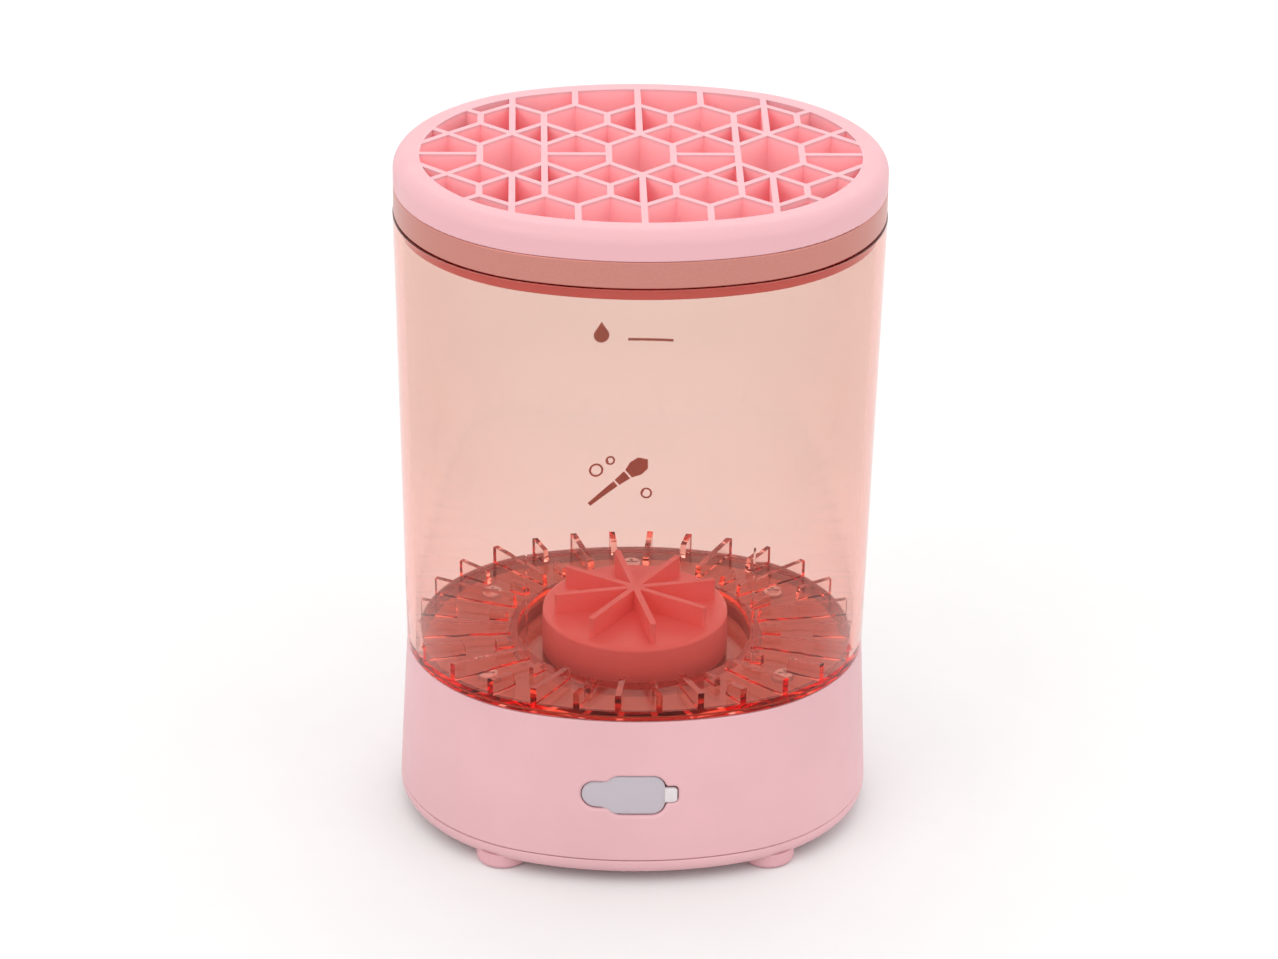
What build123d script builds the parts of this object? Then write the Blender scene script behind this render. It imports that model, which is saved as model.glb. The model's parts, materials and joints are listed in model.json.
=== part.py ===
from build123d import *
import os
from math import atan2, cos, degrees, radians, sin, sqrt

# Electric make-up brush cleaner: a clear oval cup with a spinning impeller stands on a
# rechargeable base, and a soft grid lid that holds and scrubs the brushes closes the cup.
# Millimetres. Origin on the table, under the middle of the oval; +Z up, the charging port
# faces -Y and the power button faces +Y.

os.makedirs("parts", exist_ok=True)

# ---- driving dimensions: the oval that every ring of the product is an offset of ----
HALF_WIDTH = 55.0            # widest oval, at the lid
HALF_DEPTH = 45.0
END_RADIUS = 43.0            # arcs at the +X and -X ends
LONG_RADIUS = 80.0           # arcs at the front and back
END_CENTRE = HALF_WIDTH - END_RADIUS
LONG_CENTRE = LONG_RADIUS - HALF_DEPTH

# ---- heights above the table ----
Z_UNDERSIDE = 2.6            # bottom cover's flat underside, carried by the feet
Z_SEAM = 6.6                 # bottom cover meets the base shell
Z_BASE_TOP = 41.75           # top of the base shell's rim
Z_CUP_BOTTOM = 41.95         # underside of the cup's floor plate
Z_FLOOR = 43.8               # top of the cup's floor
Z_CUP_TOP = 148.7
Z_RING_BOTTOM = 148.9
Z_LID_BOTTOM = 155.15
Z_LID_TOP = 161.9

# ---- half widths of the outer skin ----
A_SEAM = 54.6
A_BASE_TOP = 52.9
A_CUP_BOTTOM = 52.9
A_CUP_TOP = 55.2
A_RING = 55.0
EDGE_ROUND = 0.35            # soft edge where two mouldings meet

# ---- base ----
SHELL_WALL = 2.2
COVER_PLATE = 2.2
COVER_EDGE_ROUND = 3.0
LIP_TOP = 9.4
LIP_WALL = 1.5
LIP_GAP = 0.35
COLUMN_XY = [(sx * 33.5, sy * 20.4) for sx in (-1, 1) for sy in (-1, 1)]
BACK_COLUMN_XY = (0.0, 35.0)
COLUMN_R = 3.3
SCREW_R = 1.15
FOOT_XY = [(sx * 30.6, sy * 31.5) for sx in (-1, 1) for sy in (-1, 1)]
FOOT_R = 6.0
FOOT_RECESS_TOP = 3.8

# ---- deck: the plate that the cup stands over ----
DECK_FLANGE_Z = (36.8, 38.4)
DECK_TOP = 40.4
DECK_PLATE = 1.6
A_DECK_FLANGE = 50.6
A_DECK_PLATFORM = 48.5
GASKET_HEIGHT = 0.6
GASKET_HALF_WIDTHS = (50.4, 48.9)
WELL_R = 27.25               # inside radius of the well in the cup's floor
WELL_WALL = 2.0
WELL_BOTTOM = 36.6
RECESS_GAP = 0.5
RECESS_BOTTOM = 34.6

# ---- drive ----
MOTOR_R = 12.0
MOTOR_Z = (9.5, 25.8)
BRACKET_PLATE = 1.6
POST_X = 36.0
HUB_R = 19.0
HUB_Z = (29.0, 33.9)
SHAFT_R = 1.0
MAGNET_R = 4.0
MAGNET_HEIGHT = 3.0
MAGNET_CIRCLE_R = 13.0
MAGNET_COUNT = 4
RUNNING_GAP = 0.05

# ---- cup ----
CUP_WALL = 2.0
RIB_COUNT = 28
RIB_THICKNESS = 1.4
RIB_START_R = 29.0
RIB_FIRST_ANGLE = -90.0 - 180.0 / RIB_COUNT

# ---- impeller ----
IMPELLER_R = 21.4
IMPELLER_Z = (39.1, 49.3)
VANE_COUNT = 8
VANE_R = 19.0
VANE_HEIGHT = 5.0
VANE_THICKNESS = 1.4
VANE_FIRST_ANGLE = -78.4
PIN_R = 2.0

# ---- lid ----
OPENING_HALF_WIDTH = 49.1
A_FRAME = 52.0               # the rigid frame between the grid's sleeve and the band
A_SKIRT = 52.85
SKIRT_DEPTH = 3.2
FRAME_TONGUE = 2.2
LATTICE_BOTTOM = 148.0
LATTICE_PITCH = 7.14         # half the width of one cell
LATTICE_WALL = 1.45
SLEEVE_WALL = 1.7
LATTICE_Y = (5.2, 11.85, 18.1, 23.8, 29.5)

# ---- charging port and its cover ----
PORT_X = -0.3
PORT_Z = 23.0
FLAP_SIZE = (13.0, 9.4)
FLAP_GAP = 0.25
FLAP_SINK = 0.5
FLAP_BACK_Y = -41.2
HINGE_X = -6.2               # the rubber bends at the neck between lobe and flap
HINGE_GAP = 0.08
LOBE_END_X = -12.6
LOBE_HEIGHT = 6.3
SHOULDER_ROUND = 1.6
TAB_END_X = 9.0
TAB_HEIGHT = 3.7
TAB_Z = 23.2
TAB_BACK_Y = -41.7
POCKET_FLOOR_Y = -40.9
POCKET_ROUND = 0.7           # soft rim of the pocket
PAD_INNER_Y = -38.9
PLUG_SIZE = (8.2, 2.8)
PLUG_END_Y = -39.6
PORT_HOLE_SIZE = (9.8, 3.8)
PEG_X = -9.2
PEG_R = 1.0

# ---- power button ----
BUTTON_Z = 23.0
BUTTON_R = 6.0
BUTTON_GAP = 0.3
LIGHT_Z = 13.5
LIGHT_R = 1.2

# ---- boards and battery ----
PCB_TOP = 21.4
PCB_THICKNESS = 1.6
PCB_SCREW_XY = [(-16.0, -36.0), (16.0, -36.0)]
CELL_R = 7.0
CELL_LENGTH = 50.0
CELL_Y = 25.0
CELL_Z = 13.2
SWITCH_PCB_Y = (34.6, 35.8)
SWITCH_SCREW_XZ = [(-7.5, 28.5), (7.5, 28.5)]


# ------------------------------------------------------------------ basic shapes
def outline(half_width):
    """The product's four-arc oval, as a flat face at z = 0."""
    inset = HALF_WIDTH - half_width
    turn = degrees(atan2(LONG_CENTRE, END_CENTRE))
    end_r = END_RADIUS - inset
    long_r = LONG_RADIUS - inset
    return make_face([
        CenterArc((END_CENTRE, 0), end_r, -turn, 2 * turn),
        CenterArc((0, -LONG_CENTRE), long_r, turn, 180 - 2 * turn),
        CenterArc((-END_CENTRE, 0), end_r, 180 - turn, 2 * turn),
        CenterArc((0, LONG_CENTRE), long_r, 180 + turn, 180 - 2 * turn),
    ])


def slab(half_width, z_low, z_high):
    """Straight-sided oval block."""
    return Pos(0, 0, z_low) * extrude(outline(half_width), z_high - z_low)


def taper(a_low, z_low, a_high, z_high):
    """Oval block whose size changes evenly with height."""
    low = Pos(0, 0, z_low) * outline(a_low)
    high = Pos(0, 0, z_high) * outline(a_high)
    return loft([low, high], ruled=True)


def ring(a_outer, a_inner, z_low, z_high):
    """Straight-sided oval ring."""
    return slab(a_outer, z_low, z_high) - slab(a_inner, z_low - 1, z_high + 1)


def disc(radius, z_low, z_high, x=0.0, y=0.0):
    """Upright cylinder."""
    return Pos(x, y, (z_low + z_high) / 2) * Cylinder(radius, z_high - z_low)


def rod_y(radius, y_low, y_high, x=0.0, z=0.0):
    """Cylinder along Y."""
    return Pos(x, (y_low + y_high) / 2, z) * Rot(90, 0, 0) * Cylinder(radius, y_high - y_low)


def block(x, y, z):
    """Box from three (low, high) pairs."""
    centre = Pos(sum(x) / 2, sum(y) / 2, sum(z) / 2)
    return centre * Box(x[1] - x[0], y[1] - y[0], z[1] - z[0])


def reach(half_width, angle):
    """Distance from the axis to an oval's edge, in one direction."""
    inset = HALF_WIDTH - half_width
    across = abs(cos(radians(angle)))
    along = abs(sin(radians(angle)))
    end_r = END_RADIUS - inset
    distance = END_CENTRE * across + sqrt(end_r ** 2 - (END_CENTRE * along) ** 2)
    if atan2(distance * along, distance * across - END_CENTRE) <= atan2(LONG_CENTRE, END_CENTRE):
        return distance
    long_r = LONG_RADIUS - inset
    return sqrt(long_r ** 2 - (LONG_CENTRE * across) ** 2) - LONG_CENTRE * along


def cup_half_width(z):
    """Half width of the cup's outer skin at one height."""
    share = (z - Z_CUP_BOTTOM) / (Z_CUP_TOP - Z_CUP_BOTTOM)
    return A_CUP_BOTTOM + (A_CUP_TOP - A_CUP_BOTTOM) * share


def screw(head_r, head_height, shank_r, length):
    """Pan-head screw: its head stands up from z = 0 and its shank hangs below."""
    head = fillet(disc(head_r, 0, head_height).edges().group_by(Axis.Z)[-1], head_height * 0.4)
    body = head + disc(shank_r, -length, 0.01)
    slot_width = head_r * 0.3
    slot_reach = head_r * 0.62
    slot_z = (head_height * 0.55, head_height + 1)
    cross = block((-slot_reach, slot_reach), (-slot_width / 2, slot_width / 2), slot_z)
    return body - cross - Rot(0, 0, 90) * cross


def rounded_bar(width, height, depth, radius):
    """Bar along Y with a rounded rectangular section, centred on the origin."""
    return extrude(Plane.XZ * RectangleRounded(width, height, radius), depth / 2, both=True)


def save(name, shape):
    """Write one sub-part; a list of solids becomes one group."""
    if isinstance(shape, list):
        solids = [solid for item in shape for solid in item.solids()]
        shape = Compound(children=solids)
    elif len(shape.solids()) == 1:
        shape = shape.solids()[0]
    export_step(shape, f"parts/{name}.step")


# ------------------------------------------------------------------ base shell and bottom
def port_body():
    """Outline of the port cover without its tab: lobe and flap, joined by soft shoulders."""
    flap = Pos(PORT_X, PORT_Z) * RectangleRounded(*FLAP_SIZE, 2.9)
    lobe_reach = PORT_X - LOBE_END_X
    lobe = Pos(LOBE_END_X + lobe_reach / 2, PORT_Z) * RectangleRounded(
        lobe_reach, LOBE_HEIGHT, LOBE_HEIGHT / 2 - 0.05)
    return offset(offset(flap + lobe, SHOULDER_ROUND), -SHOULDER_ROUND)


def port_tab():
    reach_x = TAB_END_X - PORT_X
    return Pos(PORT_X + reach_x / 2, TAB_Z) * RectangleRounded(reach_x, TAB_HEIGHT, 0.9)


def along_y(sketch, y_low, y_high):
    """A sketch drawn in X and Z, run along Y."""
    return extrude(Plane.XZ.offset(-y_high) * sketch, y_high - y_low)


def make_pocket():
    """The hollow in the wall that the port cover lies in."""
    plan = offset(offset(port_body() + port_tab(), FLAP_GAP + 1.0), -1.0)
    return along_y(plan, -50.0, POCKET_FLOOR_Y)


def column(x, y, z_low, z_high):
    """Screw column on the shell's inside, tied to the wall by a web."""
    pillar = disc(COLUMN_R, z_low, z_high, x, y)
    web_z = (max(z_low, LIP_TOP + 0.6), z_high - GASKET_HEIGHT)
    if x == 0:
        return pillar + block((-1.2, 1.2), (y, 41.6), web_z)
    side = 1 if x > 0 else -1
    return pillar + block(sorted((x, side * 46.2)), (y - 1, y + 1), web_z)


def make_base_shell():
    outer = taper(A_SEAM, Z_SEAM, A_BASE_TOP, Z_BASE_TOP)
    outer = fillet(outer.edges().group_by(Axis.Z)[0] + outer.edges().group_by(Axis.Z)[-1], EDGE_ROUND)
    hollow = taper(A_SEAM - SHELL_WALL, Z_SEAM, A_BASE_TOP - SHELL_WALL + 0.3, Z_BASE_TOP)
    shell = outer - hollow
    ledge_z = (DECK_FLANGE_Z[0] - GASKET_HEIGHT - 1.8, DECK_FLANGE_Z[0] - GASKET_HEIGHT)
    shell += slab(A_BASE_TOP - 1, *ledge_z) - slab(A_DECK_PLATFORM - 1.2, ledge_z[0] - 1, ledge_z[1] + 1)
    for x, y in COLUMN_XY:
        shell += column(x, y, Z_UNDERSIDE + COVER_PLATE, DECK_FLANGE_Z[0])
    shell += column(*BACK_COLUMN_XY, 31.0, DECK_FLANGE_Z[0])
    pad = block((-16.5, 13.0), (-50.0, PAD_INNER_Y), (15.0, 31.0)) & outer
    shell += pad
    for x, y in PCB_SCREW_XY:
        shell += disc(2.6, PCB_TOP, 31.0, x, y)
        shell += block((x - 1, x + 1), (-41.0, y), (PCB_TOP, 31.0))
    for x, z in SWITCH_SCREW_XZ:
        shell += rod_y(1.8, SWITCH_PCB_Y[1], 41.5, x, z)
    for x, y in COLUMN_XY:
        shell -= disc(SCREW_R, Z_UNDERSIDE, 13.2, x, y)
        shell -= disc(SCREW_R, 28.5, DECK_FLANGE_Z[0] + 1, x, y)
    shell -= disc(SCREW_R, 31.5, DECK_FLANGE_Z[0] + 1, *BACK_COLUMN_XY)
    for x, y in PCB_SCREW_XY:
        shell -= disc(0.9, PCB_TOP - 1, 28.0, x, y)
    for x, z in SWITCH_SCREW_XZ:
        shell -= rod_y(0.7, SWITCH_PCB_Y[1] - 1, 40.0, x, z)
    shell -= make_pocket()
    rim = [edge for edge in shell.edges() if edge.center().Y < POCKET_FLOOR_Y - 1.2
           and abs(edge.center().X) < 14 and abs(edge.center().Z - PORT_Z) < 6]
    shell = fillet(rim, POCKET_ROUND)
    shell -= rod_y(PEG_R, POCKET_FLOOR_Y - 1, PAD_INNER_Y + 1, PEG_X, PORT_Z)
    shell -= Pos(PORT_X, -40.0, PORT_Z) * rounded_bar(*PORT_HOLE_SIZE, 6.0, 1.8)
    shell -= rod_y(BUTTON_R + BUTTON_GAP, 38.0, 50.0, 0, BUTTON_Z)
    shell -= rod_y(LIGHT_R, 38.0, 50.0, 0, LIGHT_Z)
    return shell


def port_skin():
    """Block whose face is the wall's curve, sunk a little."""
    return taper(A_SEAM - FLAP_SINK, Z_SEAM, A_BASE_TOP - FLAP_SINK, Z_BASE_TOP)


def make_port_anchor():
    """The lobe that stays on the wall, with the headed peg that holds it there."""
    lobe = along_y(port_body(), -50.0, POCKET_FLOOR_Y) & port_skin()
    lobe -= block((HINGE_X - HINGE_GAP, 20), (-50, -30), (0, 40))
    peg = rod_y(PEG_R, POCKET_FLOOR_Y - 0.5, PAD_INNER_Y + 0.1, PEG_X, PORT_Z)
    return lobe + peg + rod_y(1.7, PAD_INNER_Y, PAD_INNER_Y + 0.9, PEG_X, PORT_Z)


def make_port_cover():
    """The rubber flap with its pull tab, and the plug that fills the port."""
    flap = along_y(port_body(), -50.0, FLAP_BACK_Y) & port_skin()
    flap -= block((-20, HINGE_X + HINGE_GAP), (-50, -30), (0, 40))
    tab = along_y(port_tab(), -50.0, TAB_BACK_Y) & taper(A_SEAM, Z_SEAM, A_BASE_TOP, Z_BASE_TOP)
    tab -= block((-20, PORT_X + FLAP_SIZE[0] / 2 - 0.6), (-50, -30), (0, 40))
    plug_low = FLAP_BACK_Y - 0.3
    plug_depth = PLUG_END_Y - plug_low
    plug = Pos(PORT_X, plug_low + plug_depth / 2, PORT_Z) * rounded_bar(*PLUG_SIZE, plug_depth, 1.3)
    return flap + tab + plug


def make_bottom_cover():
    outer = taper(A_SEAM, Z_UNDERSIDE, A_SEAM, Z_SEAM - 0.15)
    outer = fillet(outer.edges().group_by(Axis.Z)[0], COVER_EDGE_ROUND)
    outer = fillet(outer.edges().group_by(Axis.Z)[-1], EDGE_ROUND)
    inner_a = A_SEAM - SHELL_WALL - LIP_GAP
    cover = outer - slab(inner_a - LIP_WALL, Z_UNDERSIDE + COVER_PLATE, Z_SEAM + 1)
    cover += ring(inner_a, inner_a - LIP_WALL, Z_SEAM - 1.0, LIP_TOP)
    for x, y in COLUMN_XY:
        cover -= disc(COLUMN_R + 0.2, Z_UNDERSIDE + COVER_PLATE, LIP_TOP + 1, x, y)
        cover -= disc(SCREW_R + 0.1, Z_UNDERSIDE - 1, Z_UNDERSIDE + COVER_PLATE + 1, x, y)
        cover -= disc(2.6, Z_UNDERSIDE - 1, Z_UNDERSIDE + 1.2, x, y)
    for x, y in FOOT_XY:
        cover -= disc(FOOT_R + 0.05, Z_UNDERSIDE - 3, FOOT_RECESS_TOP + 0.05, x, y)
    return cover


def make_feet():
    feet = []
    for x, y in FOOT_XY:
        foot = disc(FOOT_R, 0, FOOT_RECESS_TOP, x, y)
        feet.append(fillet(foot.edges().group_by(Axis.Z)[0], 1.2))
    return feet


# ------------------------------------------------------------------ deck
def make_deck():
    recess_r = WELL_R + WELL_WALL + RECESS_GAP
    deck = slab(A_DECK_FLANGE, *DECK_FLANGE_Z) + slab(A_DECK_PLATFORM, DECK_FLANGE_Z[0], DECK_TOP)
    deck -= slab(A_DECK_PLATFORM - DECK_PLATE, DECK_FLANGE_Z[0] - 1, DECK_TOP - DECK_PLATE)
    for x, y in COLUMN_XY + [BACK_COLUMN_XY]:
        deck += disc(COLUMN_R, DECK_FLANGE_Z[0], DECK_TOP - DECK_PLATE, x, y)
    deck += disc(recess_r + DECK_PLATE, RECESS_BOTTOM, DECK_TOP - 0.2)
    deck -= disc(recess_r, RECESS_BOTTOM + DECK_PLATE, DECK_TOP + 1)
    bracket_top = MOTOR_Z[1] + BRACKET_PLATE
    for side in (-1, 1):
        deck += disc(3.2, bracket_top, DECK_TOP - DECK_PLATE, side * POST_X, 0)
        deck -= disc(1.1, bracket_top - 1, bracket_top + 8, side * POST_X, 0)
    for x, y in COLUMN_XY + [BACK_COLUMN_XY]:
        deck -= disc(SCREW_R + 0.1, DECK_FLANGE_Z[0] - 1, DECK_TOP + 1, x, y)
    return deck


def make_deck_screws():
    blanks = [(x, y, 11.0) for x, y in COLUMN_XY] + [(*BACK_COLUMN_XY, 8.5)]
    return [Pos(x, y, DECK_TOP) * screw(2.5, 1.2, SCREW_R, length) for x, y, length in blanks]


def make_cover_screws():
    seat = Z_UNDERSIDE + 1.2
    return [Pos(x, y, seat) * Rot(180, 0, 0) * screw(2.45, 1.1, SCREW_R, 9.0) for x, y in COLUMN_XY]


# ------------------------------------------------------------------ drive
def magnet_places():
    step = 360 / MAGNET_COUNT
    for index in range(MAGNET_COUNT):
        angle = radians(step * (index + 0.5))
        yield MAGNET_CIRCLE_R * cos(angle), MAGNET_CIRCLE_R * sin(angle)


def make_motor():
    can = disc(MOTOR_R, *MOTOR_Z)
    can = fillet(can.edges().group_by(Axis.Z)[0] + can.edges().group_by(Axis.Z)[-1], 0.8)
    can += disc(3.0, MOTOR_Z[1] - 0.5, MOTOR_Z[1] + 1.4)
    can -= disc(SHAFT_R + RUNNING_GAP, MOTOR_Z[0] + 1, MOTOR_Z[1] + 5)
    for side in (-1, 1):
        can -= disc(0.9, MOTOR_Z[1] - 2.5, MOTOR_Z[1] + 1, side * 8.0, 0)
    return can


def make_bracket():
    z = (MOTOR_Z[1], MOTOR_Z[1] + BRACKET_PLATE)
    plate = block((-40.5, 40.5), (-7.0, 7.0), z) + disc(14.5, *z)
    plate = fillet(plate.edges().filter_by(Axis.Z), 2.0)
    plate -= disc(3.0, z[0] - 1, z[1] + 1)
    for side in (-1, 1):
        plate -= disc(1.2, z[0] - 1, z[1] + 1, side * POST_X, 0)
        plate -= disc(1.0, z[0] - 1, z[1] + 1, side * 8.0, 0)
    return plate


def make_hub():
    hub = disc(HUB_R, HUB_Z[0], HUB_Z[1])
    hub = fillet(hub.edges().group_by(Axis.Z)[0], 0.8)
    hub -= disc(SHAFT_R, HUB_Z[0] - 1, HUB_Z[1] - 1.4)
    for x, y in magnet_places():
        hub -= disc(MAGNET_R + 0.05, HUB_Z[1] - MAGNET_HEIGHT, HUB_Z[1] + 1, x, y)
    return hub


def make_magnets(z_low):
    return [disc(MAGNET_R, z_low, z_low + MAGNET_HEIGHT, x, y) for x, y in magnet_places()]


# ------------------------------------------------------------------ boards, battery, wiring
def make_cell():
    cell = Rot(0, 90, 0) * Cylinder(CELL_R, CELL_LENGTH - 1.2)
    nub = Pos(CELL_LENGTH / 2 - 0.6, 0, 0) * Rot(0, 90, 0) * Cylinder(2.4, 1.2)
    return Pos(-0.6, CELL_Y, CELL_Z) * (fillet(cell.edges(), 0.6) + nub)


def make_cell_holder():
    floor_z = Z_UNDERSIDE + COVER_PLATE
    body = block((-28.0, 28.0), (CELL_Y - 8.4, CELL_Y + 8.4), (floor_z, 12.0))
    body -= Pos(0, CELL_Y, CELL_Z) * Rot(0, 90, 0) * Cylinder(CELL_R + 0.1, 2 * 26.0)
    for side in (-1, 1):
        pocket = block((25.2, 26.0), (CELL_Y - 5, CELL_Y + 5), (floor_z + 1, 13.0))
        body -= pocket if side > 0 else mirror(pocket, Plane.YZ)
    return body


def make_cell_contacts():
    plate = block((25.2, 25.8), (CELL_Y - 4.5, CELL_Y + 4.5), (Z_UNDERSIDE + COVER_PLATE + 1, 16.0))
    return [plate, mirror(plate, Plane.YZ)]


def make_main_pcb():
    z = (PCB_TOP - PCB_THICKNESS, PCB_TOP)
    board = fillet(block((-19.5, 19.5), (-38.0, -15.5), z).edges().filter_by(Axis.Z), 1.0)
    for x, y in PCB_SCREW_XY:
        board -= disc(1.0, z[0] - 1, z[1] + 1, x, y)
    return board


def make_usb_socket():
    """Steel receptacle with its contact tongue."""
    width, height, depth = 8.94, 3.2, 7.3
    mouth_y = PAD_INNER_Y + 0.1
    shell = rounded_bar(width, height, depth, 1.5)
    shell -= Pos(0, -0.5, 0) * rounded_bar(width - 0.6, height - 0.6, depth, 1.25)
    shell += Pos(0, 0.4, 0) * rounded_bar(6.7, 0.7, depth - 0.8, 0.3)
    return Pos(PORT_X, mouth_y + depth / 2, PCB_TOP + height / 2) * shell


def make_pcb_parts():
    """Charge controller, motor driver, inductor and lead connector on the main board."""
    boxes = [
        ((-14.0, -9.0), (-29.0, -24.0), 1.2),
        ((-4.0, 1.0), (-27.0, -22.0), 1.2),
        ((6.0, 12.0), (-30.0, -24.0), 2.8),
        ((-9.0, -1.0), (-20.5, -16.0), 3.2),
    ]
    return [block(x, y, (PCB_TOP, PCB_TOP + height)) for x, y, height in boxes]


def make_switch_pcb():
    board = block((-9.0, 9.0), SWITCH_PCB_Y, (10.5, 30.4))
    for x, z in SWITCH_SCREW_XZ:
        board -= rod_y(0.8, SWITCH_PCB_Y[0] - 1, SWITCH_PCB_Y[1] + 1, x, z)
    return board


def make_tact_switch():
    y = SWITCH_PCB_Y[1]
    body = block((-3.0, 3.0), (y, y + 2.6), (BUTTON_Z - 3, BUTTON_Z + 3))
    return body + rod_y(1.75, y + 2.6, y + 3.2, 0, BUTTON_Z)


def make_button():
    """Cap, retaining flange and nub of the power button."""
    cap = rod_y(BUTTON_R, 40.4, 44.1, 0, BUTTON_Z)
    cap = fillet(cap.edges().group_by(Axis.Y)[-1], 0.5)
    dish = Pos(0, 44.1 + 39.4, BUTTON_Z) * Sphere(40.0)
    flange = rod_y(BUTTON_R + 1.0, 39.95, 40.6, 0, BUTTON_Z)
    return cap - dish + flange + rod_y(1.6, 39.85, 40.2, 0, BUTTON_Z)


def make_lead(points, radii, wire_r):
    """Round wire along straight runs joined by arcs."""
    path = FilletPolyline(*points, radius=radii)
    section = Plane(origin=path @ 0, z_dir=path % 0) * Circle(wire_r)
    return sweep(section, path=path)


def make_battery_leads():
    z = 14.0
    below = PCB_TOP - PCB_THICKNESS
    lead = make_lead([(25.8, 23, z), (29.0, 23, z), (29.0, -22, z), (17.0, -22, z), (17.0, -22, below)],
                     [1.5, 4.0, 3.0], 0.6)
    return [lead, mirror(lead, Plane.YZ)]


def make_motor_leads():
    z = 7.2
    below = PCB_TOP - PCB_THICKNESS
    lead = make_lead([(4, -8.5, MOTOR_Z[0]), (4, -8.5, z), (4, -21, z), (4, -21, below)], [1.6, 4.0], 0.6)
    return [lead, mirror(lead, Plane.YZ)]


def make_switch_lead():
    y = SWITCH_PCB_Y[0]
    return make_lead([(7, y, 23), (7, 22, 23), (16, 12, 23), (16, -18, 23), (16, -18, PCB_TOP)],
                     [6.0, 6.0, 1.4], 0.8)


# ------------------------------------------------------------------ cup
def rib(angle, start, end, inner_height, outer_height):
    """Scrubbing rib that stands on the cup's floor and points at the axis."""
    low = Z_FLOOR - 0.3
    lean = 0.7
    face = make_face(Plane.XZ * Polyline(
        (start, low), (end, low), (end, Z_FLOOR + outer_height),
        (start + lean, Z_FLOOR + inner_height), (start, low)))
    return Rot(0, 0, angle) * extrude(face, RIB_THICKNESS / 2, both=True)


def make_cup():
    outer = taper(A_CUP_BOTTOM, Z_CUP_BOTTOM, A_CUP_TOP, Z_CUP_TOP)
    outer = fillet(outer.edges().group_by(Axis.Z)[0] + outer.edges().group_by(Axis.Z)[-1], EDGE_ROUND)
    floor_a = cup_half_width(Z_FLOOR) - CUP_WALL
    hollow = taper(floor_a, Z_FLOOR, A_CUP_TOP - CUP_WALL, Z_CUP_TOP)
    ribs = []
    for index in range(RIB_COUNT):
        angle = RIB_FIRST_ANGLE + index * 360 / RIB_COUNT
        wall = reach(floor_a, angle)
        if index % 2 == 0:
            ribs.append(rib(angle, RIB_START_R, wall + 1, 2.8, 4.2))
        else:
            ribs.append(rib(angle, 16 + wall / 2, wall + 1, 3.2, 4.2))
            ribs.append(rib(angle, RIB_START_R + 0.5, RIB_START_R + 5.0, 2.0, 2.2))
    cup = outer - hollow
    cup += disc(WELL_R + WELL_WALL, WELL_BOTTOM, Z_FLOOR)
    for piece in ribs:
        cup += piece
    cup -= disc(WELL_R, WELL_BOTTOM + 1.8, Z_FLOOR + 1)
    cup += ring(A_DECK_PLATFORM + 1.9, A_DECK_PLATFORM + 0.4, DECK_FLANGE_Z[1] + 0.5, Z_CUP_BOTTOM + 0.1)
    cup -= disc(PIN_R, WELL_BOTTOM + 0.6, WELL_BOTTOM + 3)
    return cup


# ------------------------------------------------------------------ impeller
def make_impeller():
    body = disc(IMPELLER_R, *IMPELLER_Z)
    body = fillet(body.edges().group_by(Axis.Z)[-1], 1.0)
    vane_top = IMPELLER_Z[1] + VANE_HEIGHT
    for index in range(VANE_COUNT):
        angle = VANE_FIRST_ANGLE + index * 360 / VANE_COUNT
        vane = block((0, VANE_R), (-VANE_THICKNESS / 2, VANE_THICKNESS / 2), (IMPELLER_Z[1] - 0.3, vane_top))
        outer_edges = vane.edges().filter_by(Axis.Z).group_by(Axis.X)[-1]
        vane = fillet(outer_edges, VANE_THICKNESS * 0.42)
        body += Rot(0, 0, angle) * vane
    body -= disc(4.0, IMPELLER_Z[0] - 1, 46.2)
    for x, y in magnet_places():
        body -= disc(MAGNET_R + 0.05, IMPELLER_Z[0] - 1, IMPELLER_Z[0] + MAGNET_HEIGHT, x, y)
    return body


def make_bush():
    return disc(4.0, IMPELLER_Z[0], 46.2) - disc(PIN_R + RUNNING_GAP, IMPELLER_Z[0] - 1, 45.7)


# ------------------------------------------------------------------ lid
def wall_between(start, end):
    """One lattice wall in plan, between two nodes."""
    dx, dy = end[0] - start[0], end[1] - start[1]
    length = sqrt(dx ** 2 + dy ** 2) + LATTICE_WALL * 0.8
    middle = Pos((start[0] + end[0]) / 2, (start[1] + end[1]) / 2)
    return middle * Rot(0, 0, degrees(atan2(dy, dx))) * Rectangle(length, LATTICE_WALL)


def lattice_walls():
    """Walls of the grid: a middle row of hexagons, rhombs beside it, then hexagons out to the rim."""
    y_side, y_tip, y_low, y_high, y_top = LATTICE_Y
    u = LATTICE_PITCH
    for i in range(-7, 8, 2):
        x = i * u
        yield (x, -y_side), (x, y_side)
        for up in (-1, 1):
            yield (x, up * y_low), (x, up * y_high)
            for side in (-1, 1):
                node = x + side * u
                yield (x, up * y_side), (node, up * y_tip)
                yield (node, up * y_tip), (x, up * y_low)
                yield (x, up * y_high), (node, up * y_top)
    for side in (-1, 1):
        yield (side * 3 * u, -y_high), (side * 3 * u, y_high)
        yield (side * u, 0), (side * 3 * u, 0)
        yield (side * 5 * u, 0), (side * 7 * u, 0)
    for i in (-4, 0, 4):
        for up in (-1, 1):
            yield (i * u, up * y_tip), (i * u, up * y_top)
    for i in (-4, -2, 0, 2, 4):
        for up in (-1, 1):
            yield (i * u, up * y_top), (i * u, up * HALF_DEPTH)


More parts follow.
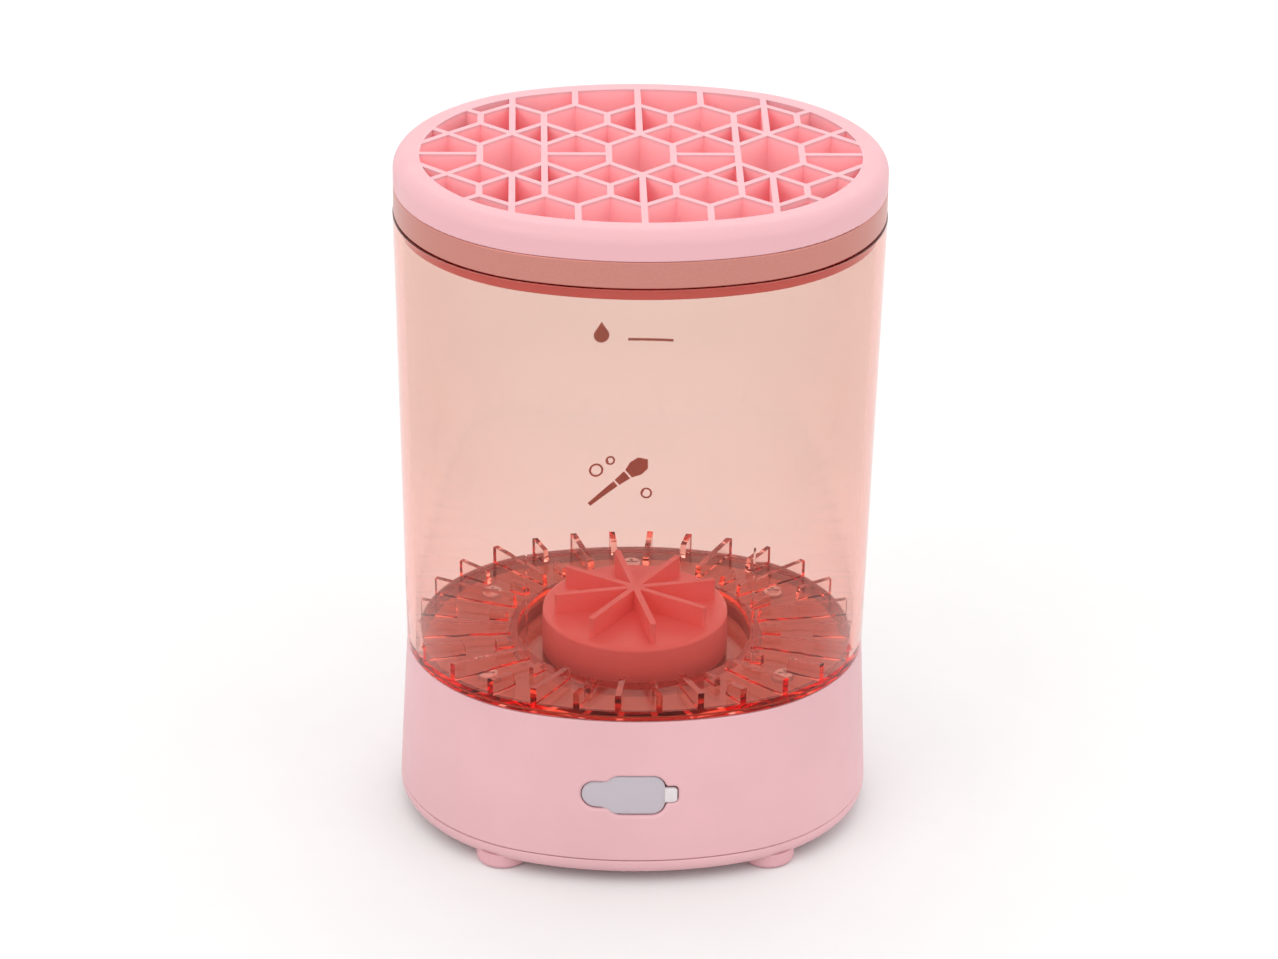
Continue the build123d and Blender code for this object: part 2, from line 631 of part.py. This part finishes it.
def make_grid_lid():
    rim = slab(HALF_WIDTH, Z_LID_BOTTOM, Z_LID_TOP)
    rim = fillet(rim.edges().group_by(Axis.Z)[-1], 3.0)
    rim = fillet(rim.edges().group_by(Axis.Z)[0], EDGE_ROUND)
    lid = rim + slab(OPENING_HALF_WIDTH + SLEEVE_WALL, LATTICE_BOTTOM, Z_LID_BOTTOM + 1)
    lid -= slab(OPENING_HALF_WIDTH, LATTICE_BOTTOM - 1, Z_LID_TOP + 1)
    lid -= ring(A_FRAME, OPENING_HALF_WIDTH + SLEEVE_WALL, Z_LID_BOTTOM - 1, Z_LID_BOTTOM + FRAME_TONGUE)
    plan = Sketch() + [wall_between(start, end) for start, end in lattice_walls()]
    plan = plan & outline(OPENING_HALF_WIDTH + 0.4)
    lattice = Pos(0, 0, LATTICE_BOTTOM) * extrude(plan, Z_LID_TOP - LATTICE_BOTTOM)
    return lid + lattice


def make_lid_frame():
    """Rigid ring that plugs into the cup's mouth and carries the band and the soft grid."""
    inner = OPENING_HALF_WIDTH + SLEEVE_WALL
    skirt = slab(A_SKIRT, Z_RING_BOTTOM - SKIRT_DEPTH, Z_RING_BOTTOM - 0.2)
    skirt = fillet(skirt.edges().group_by(Axis.Z)[0], EDGE_ROUND)
    skirt -= slab(inner, Z_RING_BOTTOM - SKIRT_DEPTH - 1, Z_RING_BOTTOM + 1)
    return skirt + ring(A_FRAME, inner, Z_RING_BOTTOM - 1, Z_LID_BOTTOM + FRAME_TONGUE)


def make_trim_ring():
    band = slab(A_RING, Z_RING_BOTTOM, Z_LID_BOTTOM)
    band = fillet(band.edges().group_by(Axis.Z)[0] + band.edges().group_by(Axis.Z)[-1], EDGE_ROUND)
    return band - slab(A_FRAME, Z_RING_BOTTOM - 1, Z_LID_BOTTOM + 1)


def main():
    save("base_shell", make_base_shell())
    save("bottom_cover", make_bottom_cover())
    save("rubber_feet", make_feet())
    save("cover_screws", make_cover_screws())
    save("base_deck", make_deck())
    save("deck_gasket", ring(*GASKET_HALF_WIDTHS, DECK_FLANGE_Z[0] - GASKET_HEIGHT, DECK_FLANGE_Z[0]))
    save("deck_screws", make_deck_screws())
    save("port_cover_anchor", make_port_anchor())

    save("motor", make_motor())
    save("motor_bracket", make_bracket())
    bracket_top = MOTOR_Z[1] + BRACKET_PLATE
    save("motor_screws", [Pos(side * 8.0, 0, bracket_top) * screw(1.8, 1.1, 0.9, 3.8) for side in (-1, 1)])
    save("bracket_screws", [Pos(side * POST_X, 0, MOTOR_Z[1]) * Rot(180, 0, 0) * screw(2.4, 1.2, 1.1, 9.0)
                            for side in (-1, 1)])

    save("battery_cell", make_cell())
    save("battery_holder", make_cell_holder())
    save("battery_contacts", make_cell_contacts())
    save("battery_leads", make_battery_leads())
    save("motor_leads", make_motor_leads())
    save("main_pcb", make_main_pcb())
    save("pcb_parts", make_pcb_parts())
    save("pcb_screws", [Pos(x, y, PCB_TOP - PCB_THICKNESS) * Rot(180, 0, 0) * screw(2.0, 1.0, 0.9, 7.0)
                        for x, y in PCB_SCREW_XY])
    save("usb_socket", make_usb_socket())
    save("switch_pcb", make_switch_pcb())
    save("switch_screws", [Pos(x, SWITCH_PCB_Y[0], z) * Rot(90, 0, 0) * screw(1.5, 0.8, 0.7, 4.5)
                           for x, z in SWITCH_SCREW_XZ])
    save("switch_lead", make_switch_lead())
    save("tact_switch", make_tact_switch())
    save("status_led", block((-0.9, 0.9), (SWITCH_PCB_Y[1], SWITCH_PCB_Y[1] + 1), (LIGHT_Z - 0.9, LIGHT_Z + 0.9)))
    save("light_pipe", rod_y(LIGHT_R, SWITCH_PCB_Y[1] + 1.2, 43.9, 0, LIGHT_Z))

    save("motor_shaft", disc(SHAFT_R, MOTOR_Z[0] + 1.2, HUB_Z[1] - 1.4))
    save("drive_hub", make_hub())
    save("drive_magnets", make_magnets(HUB_Z[1] - MAGNET_HEIGHT))

    save("cup", make_cup())
    save("spindle_pin", disc(PIN_R, WELL_BOTTOM + 0.6, 45.5))
    save("impeller", make_impeller())
    save("impeller_bush", make_bush())
    save("impeller_magnets", make_magnets(IMPELLER_Z[0]))

    save("grid_lid", make_grid_lid())
    save("lid_frame", make_lid_frame())
    save("trim_ring", make_trim_ring())
    save("power_button", make_button())
    save("port_cover", make_port_cover())


main()
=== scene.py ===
import json
from math import atan2, cos, pi, radians, sin, sqrt

import bmesh
import bpy
from mathutils import Matrix, Vector


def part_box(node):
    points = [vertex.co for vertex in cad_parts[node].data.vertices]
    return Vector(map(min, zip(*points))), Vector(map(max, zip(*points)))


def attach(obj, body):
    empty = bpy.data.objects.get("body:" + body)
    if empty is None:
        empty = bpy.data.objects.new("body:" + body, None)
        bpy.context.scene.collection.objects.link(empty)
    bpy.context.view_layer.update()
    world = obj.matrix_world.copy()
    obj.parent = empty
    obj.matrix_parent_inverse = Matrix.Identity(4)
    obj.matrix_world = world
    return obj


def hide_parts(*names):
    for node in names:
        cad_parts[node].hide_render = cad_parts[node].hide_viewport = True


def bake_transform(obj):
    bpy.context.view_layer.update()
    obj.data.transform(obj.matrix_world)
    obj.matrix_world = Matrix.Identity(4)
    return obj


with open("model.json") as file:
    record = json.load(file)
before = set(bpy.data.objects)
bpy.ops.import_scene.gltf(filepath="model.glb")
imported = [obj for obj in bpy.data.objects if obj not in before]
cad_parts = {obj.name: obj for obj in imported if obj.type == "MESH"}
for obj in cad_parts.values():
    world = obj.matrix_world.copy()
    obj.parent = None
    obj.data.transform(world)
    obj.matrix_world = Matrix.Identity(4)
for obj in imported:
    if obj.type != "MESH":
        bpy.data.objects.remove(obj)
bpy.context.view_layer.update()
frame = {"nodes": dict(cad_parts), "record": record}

# Looks of a make-up brush cleaner. Metres, in the CAD frame: +Z up, the charging port faces
# -Y towards the camera, the power button faces +Y.

MM = 0.001


# ------------------------------------------------------------------ camera and studio
def place_camera():
    """Camera at the catalogue view: a little above the rear of the product, long lens."""
    aim = Vector((0, 0, 84.2 * MM))
    pitch, roll, yaw = radians(26.18), radians(-0.81), radians(1.66)
    distance, right_shift, up_shift = 1.042, -0.52 * MM, 2.42 * MM
    turn = Matrix(((cos(yaw), -sin(yaw), 0), (sin(yaw), cos(yaw), 0), (0, 0, 1)))
    tilt = Matrix(((1, 0, 0), (0, sin(pitch), cos(pitch)), (0, cos(pitch), -sin(pitch))))
    lean = Matrix(((cos(roll), -sin(roll), 0), (sin(roll), cos(roll), 0), (0, 0, 1)))
    right, up, forward = (lean @ tilt @ turn).row
    data = bpy.data.cameras.new("camera")
    data.sensor_width = 36.0
    data.lens = 128.2
    data.clip_start = 0.01
    data.dof.use_dof = False
    camera = bpy.data.objects.new("camera", data)
    bpy.context.scene.collection.objects.link(camera)
    place = aim - right * right_shift - up * up_shift - forward * distance
    camera.matrix_world = Matrix.Translation(place) @ Matrix((right, up, -forward)).transposed().to_4x4()
    bpy.context.scene.camera = camera


def area_light(name, place, size, power, colour):
    data = bpy.data.lights.new(name, "AREA")
    data.shape = "RECTANGLE"
    data.size, data.size_y = size
    data.energy = power
    data.color = colour
    lamp = bpy.data.objects.new(name, data)
    bpy.context.scene.collection.objects.link(lamp)
    lamp.location = place
    lamp.rotation_euler = (Vector((0, 0, 0.08)) - Vector(place)).to_track_quat("-Z", "Y").to_euler()


def make_studio():
    """Even white surround, with soft boxes that shape the sides."""
    scene = bpy.context.scene
    world = bpy.data.worlds.new("studio")
    world.use_nodes = True
    world.node_tree.nodes["Background"].inputs["Color"].default_value = (1.0, 0.995, 0.99, 1)
    world.node_tree.nodes["Background"].inputs["Strength"].default_value = 1.3
    scene.world = world
    scene.view_settings.view_transform = "Standard"
    scene.cycles.max_bounces = 64
    scene.cycles.diffuse_bounces = 10
    scene.cycles.glossy_bounces = 48
    scene.cycles.transmission_bounces = 48
    area_light("key_light", (-0.75, -0.75, 0.95), (0.7, 0.7), 2.4, (1.0, 0.985, 0.97))
    area_light("fill_light", (0.85, -0.55, 0.65), (0.6, 0.8), 0.9, (0.98, 0.985, 1.0))
    area_light("rim_light", (0.15, 0.9, 0.9), (0.9, 0.5), 1.2, (1.0, 1.0, 1.0))

    mesh = bpy.data.meshes.new("floor")
    bm = bmesh.new()
    bmesh.ops.create_circle(bm, cap_ends=True, segments=96, radius=6.0)
    bm.to_mesh(mesh)
    bm.free()
    floor = bpy.data.objects.new("floor", mesh)
    scene.collection.objects.link(floor)
    mesh.materials.append(floor_material())


# ------------------------------------------------------------------ materials
class Nodes:
    """A material's node tree, with short calls for the nodes used here."""

    def __init__(self, name):
        self.material = bpy.data.materials.new(name)
        self.material.use_nodes = True
        self.tree = self.material.node_tree
        self.shader = self.tree.nodes["Principled BSDF"]
        self.output = self.tree.nodes["Material Output"]
        self.place = self.tree.nodes.new("ShaderNodeTexCoord").outputs["Object"]

    def link(self, source, target):
        self.tree.links.new(source, target)

    def set(self, **values):
        """Plain values on the shader's own sockets; names use _ for a space."""
        for name, value in values.items():
            self.shader.inputs[name.replace("_", " ")].default_value = value

    def noise(self, scale, detail=4.0, rough=0.5, stretch=None):
        node = self.tree.nodes.new("ShaderNodeTexNoise")
        node.inputs["Scale"].default_value = scale
        node.inputs["Detail"].default_value = detail
        node.inputs["Roughness"].default_value = rough
        source = self.place
        if stretch:
            mapping = self.tree.nodes.new("ShaderNodeMapping")
            mapping.inputs["Scale"].default_value = stretch
            self.link(source, mapping.inputs["Vector"])
            source = mapping.outputs["Vector"]
        self.link(source, node.inputs["Vector"])
        return node.outputs["Fac"]

    def ramp(self, source, low, high, from_low=0.3, from_high=0.7):
        """Values from low to high as source goes over its usual range."""
        node = self.tree.nodes.new("ShaderNodeMapRange")
        node.inputs["From Min"].default_value = from_low
        node.inputs["From Max"].default_value = from_high
        node.inputs["To Min"].default_value = low
        node.inputs["To Max"].default_value = high
        self.link(source, node.inputs["Value"])
        return node.outputs["Result"]

    def mix(self, factor, colour_a, colour_b):
        node = self.tree.nodes.new("ShaderNodeMix")
        node.data_type = "RGBA"
        node.inputs["A"].default_value = (*colour_a, 1)
        node.inputs["B"].default_value = (*colour_b, 1)
        self.link(factor, node.inputs["Factor"])
        return node.outputs["Result"]

    def bump(self, source, distance, strength=1.0):
        node = self.tree.nodes.new("ShaderNodeBump")
        node.inputs["Distance"].default_value = distance
        node.inputs["Strength"].default_value = strength
        self.link(source, node.inputs["Height"])
        self.link(node.outputs["Normal"], self.shader.inputs["Normal"])


def moulded(name, colour, roughness, variation=0.05, grain=2600, grain_height=0.004, **values):
    """Moulded plastic or rubber: fine spark-eroded grain, faint flow marks in colour and gloss."""
    n = Nodes(name)
    n.set(**values)
    flow = n.noise(28, 5, 0.55)
    darker = tuple(c * (1 - variation) for c in colour)
    lighter = tuple(min(1, c * (1 + variation)) for c in colour)
    n.link(n.mix(n.ramp(flow, 0, 1), darker, lighter), n.shader.inputs["Base Color"])
    n.link(n.ramp(n.noise(160, 3), roughness * 0.88, min(1, roughness * 1.12)), n.shader.inputs["Roughness"])
    n.bump(n.noise(grain, 2), grain_height * MM)
    return n.material


def brushed(name, colour, roughness, stretch=(1, 1, 40)):
    """Turned or brushed metal, with streaks along one direction."""
    n = Nodes(name)
    n.set(Metallic=1.0)
    streak = n.noise(60, 6, 0.6, stretch)
    darker = tuple(c * 0.85 for c in colour)
    n.link(n.mix(n.ramp(streak, 0, 1), darker, colour), n.shader.inputs["Base Color"])
    n.link(n.ramp(streak, roughness * 0.7, roughness * 1.3), n.shader.inputs["Roughness"])
    n.bump(streak, 0.004 * MM)
    return n.material


def floor_material():
    return moulded("floor_paper", (0.75, 0.75, 0.75), 0.9, variation=0.01, grain=900, grain_height=0.02)


def clear_plastic():
    """Peach-tinted clear plastic: the tint is in its depth, so edges seen end-on turn deep red."""
    n = Nodes("clear_peach")
    n.set(Transmission_Weight=1.0, IOR=1.49, Specular_Tint=(1.0, 0.35, 0.3, 1))
    # Painted light: the tint in the base colour fades out below 60 mm, so the cup floor and deck seen
    # through the lower wall come out brighter than the light reaching them would make them.
    height = n.tree.nodes.new("ShaderNodeSeparateXYZ")
    n.link(n.place, height.inputs["Vector"])
    wall = n.ramp(height.outputs["Z"], 0, 1, 60 * MM, 100 * MM)
    n.link(n.mix(wall, (1.0, 1.0, 1.0), (0.87, 0.92, 0.90)), n.shader.inputs["Base Color"])
    n.link(n.ramp(n.noise(14, 3), 0.012, 0.03), n.shader.inputs["Roughness"])
    n.bump(n.noise(9, 2), 0.05 * MM, 0.35)
    volume = n.tree.nodes.new("ShaderNodeVolumeAbsorption")
    volume.inputs["Color"].default_value = (0.96, 0.40, 0.27, 1)
    volume.inputs["Density"].default_value = 200.0
    n.link(volume.outputs["Volume"], n.output.inputs["Volume"])
    return n.material


def rose_gold():
    """Pearl lacquer: tiny metallic flakes under a clear coat."""
    n = Nodes("rose_gold")
    n.set(Metallic=0.75, Coat_Weight=0.35, Coat_Roughness=0.25)
    flakes = n.noise(9000, 2, 0.7)
    dark, light = (0.44, 0.155, 0.13), (0.60, 0.245, 0.20)
    n.link(n.mix(n.ramp(flakes, 0, 1), dark, light), n.shader.inputs["Base Color"])
    n.link(n.ramp(flakes, 0.34, 0.46), n.shader.inputs["Roughness"])
    n.bump(n.noise(5200, 2), 0.006 * MM)
    return n.material


def soft_grid():
    """Silicone: the thin walls of the grid are painted a brighter, deeper pink than the thick rim round
    them, a painted glow that stands in for light shining through thin silicone.
    """
    n = Nodes("pink_silicone")
    n.set(Subsurface_Weight=0.12, Subsurface_Radius=(1.0, 0.45, 0.4), Subsurface_Scale=1.2 * MM)
    place = n.tree.nodes.new("ShaderNodeMapping")
    low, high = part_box("grid_lid")
    place.inputs["Scale"].default_value = (2.2 / (high.x - low.x), 2.24 / (high.y - low.y), 0)
    n.link(n.place, place.inputs["Vector"])
    reach = n.tree.nodes.new("ShaderNodeVectorMath")
    reach.operation = "LENGTH"
    n.link(place.outputs["Vector"], reach.inputs[0])
    depth = n.tree.nodes.new("ShaderNodeSeparateXYZ")
    n.link(n.place, depth.inputs["Vector"])
    inside = n.ramp(reach.outputs["Value"], 1, 0, 0.985, 1.03)
    below = n.ramp(depth.outputs["Z"], 1, 0, high.z - 0.9 * MM, high.z - 0.1 * MM)
    painted_glow_mask = n.tree.nodes.new("ShaderNodeMath")
    painted_glow_mask.operation = "MULTIPLY"
    n.link(inside, painted_glow_mask.inputs[0])
    n.link(below, painted_glow_mask.inputs[1])
    # Painted glow: grid walls below the top get the brighter, deeper pink; the rim and wall tops keep the
    # plain rim pink.
    rim, grid = (0.66, 0.365, 0.395), (0.97, 0.47, 0.50)
    n.link(n.mix(painted_glow_mask.outputs["Value"], rim, grid), n.shader.inputs["Base Color"])
    n.link(n.ramp(n.noise(160, 3), 0.44, 0.56), n.shader.inputs["Roughness"])
    n.bump(n.noise(2600, 2), 0.004 * MM)
    return n.material


def port_rubber():
    """Cloudy grey-white rubber, paler where the pull tab stands up."""
    n = Nodes("port_rubber")
    n.set(Subsurface_Weight=0.2, Subsurface_Radius=(1.0, 1.0, 1.0), Subsurface_Scale=1.0 * MM)
    across = n.tree.nodes.new("ShaderNodeSeparateXYZ")
    n.link(n.place, across.inputs["Vector"])
    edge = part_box("port_cover")[1].x
    tab = n.ramp(across.outputs["X"], 0, 1, edge - 3.2 * MM, edge - 2.6 * MM)
    n.link(n.mix(tab, (0.445, 0.40, 0.44), (0.62, 0.57, 0.58)), n.shader.inputs["Base Color"])
    n.link(n.ramp(n.noise(160, 3), 0.4, 0.5), n.shader.inputs["Roughness"])
    n.bump(n.noise(2600, 2), 0.004 * MM)
    return n.material


PINK = (0.64, 0.37, 0.395)


def make_materials():
    return {
        "pink_shell": moulded("pink_shell", PINK, 0.42, grain=3200, grain_height=0.006),
        # Pink plastic deck; its colour is pushed up to full-strength coral as painted light, standing in for
        # light that hardly reaches it under the cup floor.
        "pink_deck": moulded("pink_deck", (1.0, 0.31, 0.21), 0.5),
        "pink_rubber": moulded("pink_rubber", (0.62, 0.34, 0.37), 0.6),
        "pink_silicone": soft_grid(),
        "pink_button": moulded("pink_button", (0.92, 0.62, 0.66), 0.35),
        "rose_gold": rose_gold(),
        "clear_peach": clear_plastic(),
        "coral_plastic": moulded("coral_plastic", (1.0, 0.21, 0.20), 0.38, Subsurface_Weight=0.1,
                                 Subsurface_Radius=(1.0, 0.3, 0.3), Subsurface_Scale=1.0 * MM),
        "port_rubber": port_rubber(),
        "print_ink": moulded("print_ink", (0.80, 0.52, 0.46), 0.5, variation=0.08),
        "grey_seal": moulded("grey_seal", (0.3, 0.3, 0.31), 0.7),
        "steel": brushed("steel", (0.62, 0.62, 0.63), 0.32),
        "motor_steel": brushed("motor_steel", (0.52, 0.52, 0.54), 0.35),
        "magnet_nickel": brushed("magnet_nickel", (0.70, 0.68, 0.66), 0.15),
        "brass_bush": brushed("brass_bush", (0.78, 0.58, 0.28), 0.4),
        "cell_wrap": moulded("cell_wrap", (0.05, 0.16, 0.42), 0.3),
        "black_plastic": moulded("black_plastic", (0.03, 0.03, 0.035), 0.5),
        "pcb_green": moulded("pcb_green", (0.02, 0.16, 0.07), 0.3),
        "lead_red": moulded("lead_red", (0.5, 0.03, 0.02), 0.45),
        "lead_black": moulded("lead_black", (0.025, 0.025, 0.025), 0.45),
        "led_white": moulded("led_white", (0.85, 0.85, 0.82), 0.3, Subsurface_Weight=0.2),
    }


def dress_cad(materials):
    """Every CAD node gets the finish of its material slot."""
    for part in frame["record"]["subparts"]:
        node = frame["nodes"][part["node"]]
        node.data.materials.clear()
        node.data.materials.append(materials[part["material_slot"]])


# ------------------------------------------------------------------ pieces drawn here
LONG_RADIUS = 80 * MM            # front and back arcs of the widest oval, and their centre
LONG_CENTRE = 35 * MM


def add_piece(name, bm, material):
    bmesh.ops.recalc_face_normals(bm, faces=bm.faces)
    mesh = bpy.data.meshes.new(name)
    bm.to_mesh(mesh)
    bm.free()
    mesh.materials.append(material)
    piece = bpy.data.objects.new(name, mesh)
    bpy.context.scene.collection.objects.link(piece)
    return piece


def arc(centre, radius, start, end, count):
    """Points on an arc, in X and Z; angles in degrees."""
    for index in range(count + 1):
        angle = radians(start + (end - start) * index / count)
        yield centre[0] + radius * cos(angle), centre[1] + radius * sin(angle)


def printed(name, loops, node, outward, body, material, lift=0.03, thickness=0.05):
    """Ink: flat outlines in X and Z (mm) laid on the +Y face of a CAD node, following its curve."""
    bm = bmesh.new()
    for loop in loops:
        bm.faces.new([bm.verts.new((x * MM, 0, z * MM)) for x, z in loop])
    bmesh.ops.triangulate(bm, faces=bm.faces)
    left = min(v.co.x for v in bm.verts)
    right = max(v.co.x for v in bm.verts)
    for step in range(1, int((right - left) / MM) + 1):
        bmesh.ops.bisect_plane(bm, geom=bm.verts[:] + bm.edges[:] + bm.faces[:],
                               plane_co=(left + step * MM, 0, 0), plane_no=(1, 0, 0))
    grown = bmesh.ops.extrude_face_region(bm, geom=bm.faces[:])["geom"]
    upper = {v for v in grown if isinstance(v, bmesh.types.BMVert)}
    target = frame["nodes"][node]
    for v in bm.verts:
        hit, place, _, _ = target.ray_cast(Vector((v.co.x, outward, v.co.z)), Vector((0, -1, 0)))
        v.co.y = (place.y if hit else 0) + (lift + (thickness if v in upper else 0)) * MM
    piece = add_piece(name, bm, material)
    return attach(piece, body)


def drop(x, z, size):
    """Outline of a water drop."""
    points = list(arc((x, z), size * 0.36, -220, 40, 24))
    return points + [(x, z + size * 0.66)]


def band_strip(points, width):
    """Closed outline of a stroke that follows points."""
    left, right = [], []
    for index, (x, z) in enumerate(points):
        before, after = points[max(index - 1, 0)], points[min(index + 1, len(points) - 1)]
        dx, dz = after[0] - before[0], after[1] - before[1]
        size = sqrt(dx * dx + dz * dz)
        left.append((x - dz / size * width / 2, z + dx / size * width / 2))
        right.append((x + dz / size * width / 2, z - dx / size * width / 2))
    return left + right[::-1]


def ring_loops(x, z, radius, width, start=0, end=360, parts=3):
    """A ring, or part of one, as strokes that don't cross themselves."""
    step = (end - start) / parts
    return [band_strip(list(arc((x, z), radius, start + step * k, start + step * (k + 1), 14)), width)
            for k in range(parts)]


def make_prints(ink):
    """Fill mark on the cup's front wall, and a plain brush-and-bubbles sign below it."""
    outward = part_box("cup")[1].y + 50 * MM
    printed("fill_line", [[(-1.2, 97.1), (9.6, 97.1), (9.6, 97.75), (-1.2, 97.75)]], "cup", outward, "cup",
            ink)
    printed("fill_drop", [drop(-7.6, 98.6, 5.2)], "cup", outward, "cup", ink)
    lean, size = atan2(9.0, 11.0), 1.12

    def turned(points):
        return [(-3.0 + size * (x * cos(lean) - z * sin(lean)),
                 60.6 + size * (x * sin(lean) + z * cos(lean))) for x, z in points]

    handle = [(-8.4, -0.45), (-1.0, -0.75), (-1.0, 0.75), (-8.4, 0.45)]
    ferrule = [(-0.6, -0.8), (2.2, -1.1), (2.2, 1.1), (-0.6, 0.8)]
    bristles = [(2.6, -1.15), (4.6, -1.9), (6.6, -1.7), (8.0, 0.0), (6.6, 1.7), (4.6, 1.9), (2.6, 1.15)]
    printed("brush_sign", [turned(handle), turned(ferrule), turned(bristles)], "cup", outward, "cup",
            ink)
    bubbles = ring_loops(-8.6, 63.6, 1.5, 0.5)
    bubbles += ring_loops(-5.2, 66.0, 0.95, 0.45) + ring_loops(3.6, 57.4, 1.2, 0.45)
    printed("bubble_sign", bubbles, "cup", outward, "cup", ink)


def make_button_sign(ink):
    """Power sign on the button's cap."""
    low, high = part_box("power_button")
    x, z = (low.x + high.x) / 2 / MM, (low.z + high.z) / 2 / MM
    loops = ring_loops(x, z, 2.2, 0.5, 118, 422, 4)
    loops.append([(x - 0.25, z + 0.5), (x + 0.25, z + 0.5), (x + 0.25, z + 2.9), (x - 0.25, z + 2.9)])
    printed("power_sign", loops, "power_button", high.y + 50 * MM, "power_button",
            ink, 0.02, 0.04)


def skin_half_height(x, left, right, flap_right, flap_half, lobe_half):
    """Half the port cover's height at one x: round lobe, soft shoulders, round-cornered flap, tab."""
    corner, tab_half = 2.9 * MM, 1.85 * MM
    if x > flap_right:
        return tab_half - max(x - (right - 0.6 * MM), 0) * 0.9
    if x > flap_right - corner:
        inset = x - (flap_right - corner)
        return flap_half - corner + sqrt(max(corner ** 2 - inset ** 2, 0))
    if x < left + lobe_half:
        return sqrt(max(lobe_half ** 2 - (left + lobe_half - x) ** 2, (0.5 * MM) ** 2))
    neck = min(max((x - (left + 4.2 * MM)) / (3.4 * MM), 0), 1)
    return lobe_half + (flap_half - lobe_half) * neck * neck * (3 - 2 * neck)


def base_wall(x, z, sink):
    """Y of the base's rear face, or of a surface sunk under it."""
    low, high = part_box("base_shell")
    seam_inset, wall_lean = 0.4 * MM, 1.7 * MM
    inset = seam_inset + wall_lean * (z - low.z) / (high.z - low.z) + sink
    return LONG_CENTRE - sqrt((LONG_RADIUS - inset) ** 2 - x * x)


def plug_mesh(bm, at_x, at_z, half_x, half_z, corner, low_y, high_y):
    """Rounded bar along Y with a softened far end."""
    loop = []
    for sx, sz, begin in ((1, 1, 0), (-1, 1, 90), (-1, -1, 180), (1, -1, 270)):
        centre = (at_x + sx * (half_x - corner), at_z + sz * (half_z - corner))
        loop += list(arc(centre, corner, begin, begin + 90, 8))
    rings = []
    for back, shrink in ((high_y - low_y, 0), (0.35 * MM, 0), (0.1 * MM, 0.1 * MM), (0, 0.35 * MM)):
        kx, kz = 1 - shrink / half_x, 1 - shrink / half_z
        rings.append([bm.verts.new((at_x + (x - at_x) * kx, high_y - back, at_z + (z - at_z) * kz))
                      for x, z in loop])
    for a, b in zip(rings, rings[1:]):
        for k in range(len(loop)):
            following = (k + 1) % len(loop)
            bm.faces.new((a[k], a[following], b[following], b[k]))
    bm.faces.new(rings[0])
    bm.faces.new(rings[-1])


def make_port_skin(material):
    """The port cover as the one soft moulding it is: lobe, neck, flap, pull tab, plug and peg."""
    lobe_low, lobe_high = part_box("port_cover_anchor")
    flap_low, flap_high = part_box("port_cover")
    grow, edge, rows = 0.13 * MM, 0.5 * MM, 25
    middle = (flap_low.z + flap_high.z) / 2
    flap_half = (flap_high.z - flap_low.z) / 2 + grow
    lobe_half = 3.15 * MM + grow
    left, right = lobe_low.x - grow, flap_high.x + grow / 2
    flap_right = flap_high.x - 2.8 * MM

    columns = [left + (right - left) * (1 - cos(pi * index / 96)) / 2 for index in range(97)]
    columns = sorted(columns + [flap_right - 0.02 * MM, flap_right + 0.02 * MM])
    bm = bmesh.new()
    front, back = [], []
    for x in columns:
        half = max(skin_half_height(x, left, right, flap_right, flap_half, lobe_half), 0.45 * MM)
        on_tab = x > flap_right
        sink = 0.12 * MM if on_tab else 0.5 * MM
        back_y = -41.75 * MM if on_tab else -41.2 * MM
        if x < flap_low.x:
            back_y = -40.95 * MM
        front_line, back_line = [], []
        for j in range(rows):
            z = middle - half + half * (1 - cos(pi * j / (rows - 1)))
            inward = min(z - middle + half, middle + half - z, x - left, right - x)
            fall = edge - sqrt(max(edge ** 2 - max(edge - inward, 0) ** 2, 0))
            crown = 0.12 * MM * (1 - ((z - middle) / half) ** 2)
            front_line.append(bm.verts.new((x, base_wall(x, z, sink) + fall - crown, z)))
            back_line.append(bm.verts.new((x, back_y, z)))
        front.append(front_line)
        back.append(back_line)
    for lines in (front, back):
        for a, b in zip(lines, lines[1:]):
            for j in range(rows - 1):
                bm.faces.new((a[j], a[j + 1], b[j + 1], b[j]))
    for end in (0, -1):
        for j in range(rows - 1):
            bm.faces.new((front[end][j], front[end][j + 1], back[end][j + 1], back[end][j]))
    for i in range(len(columns) - 1):
        for j in (0, rows - 1):
            bm.faces.new((front[i][j], front[i + 1][j], back[i + 1][j], back[i][j]))
    plug_mesh(bm, -0.3 * MM, middle, 4.1 * MM, 1.4 * MM, 1.3 * MM, -41.3 * MM, flap_high.y)
    plug_mesh(bm, lobe_low.x + 3.4 * MM, middle, 1.0 * MM, 1.0 * MM, 0.95 * MM, -41.0 * MM, lobe_high.y)

    bmesh.ops.remove_doubles(bm, verts=bm.verts, dist=0.0005 * MM)
    piece = add_piece("port_cover_skin", bm, material)
    for polygon in piece.data.polygons:
        polygon.use_smooth = True
    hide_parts("port_cover_anchor", "port_cover")
    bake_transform(piece)


place_camera()
make_studio()
MATERIALS = make_materials()
dress_cad(MATERIALS)
make_prints(MATERIALS["print_ink"])
make_button_sign(MATERIALS["print_ink"])
make_port_skin(MATERIALS["port_rubber"])
